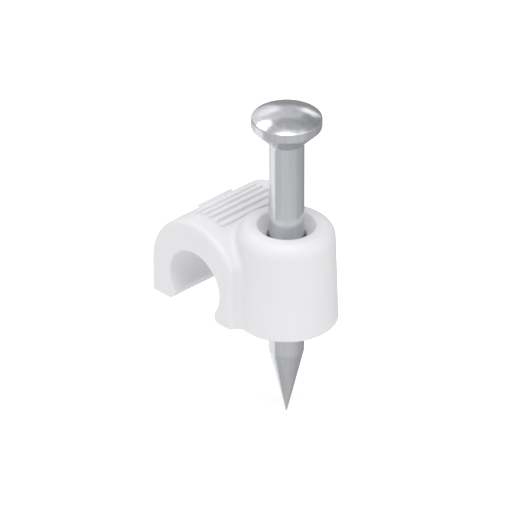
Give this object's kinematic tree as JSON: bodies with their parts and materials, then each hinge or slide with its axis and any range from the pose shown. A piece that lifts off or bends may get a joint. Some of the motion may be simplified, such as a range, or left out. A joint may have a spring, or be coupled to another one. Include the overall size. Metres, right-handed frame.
{
  "type": "nail-in cable clip",
  "caption": "Moulded plastic saddle that snaps over a round cable, with a steel nail through the boss beside it to fix it to a wall.",
  "frame": {"origin": "where the nail's axis passes through the wall face of the clip", "axes": "+Z along the nail, from the wall towards its head; +Y along the cable; the cable seat lies on the -X side of the nail"},
  "size_m": [0.0104, 0.0068, 0.0197],
  "materials": {
    "clip_plastic": "smooth satin moulding in a pale neutral grey-white",
    "nail_steel": "bright zinc-plated hardened steel"
  },
  "bodies": {
    "root": {"clip_body": "clip_plastic", "nail": "nail_steel"}
  },
  "joints": []
}
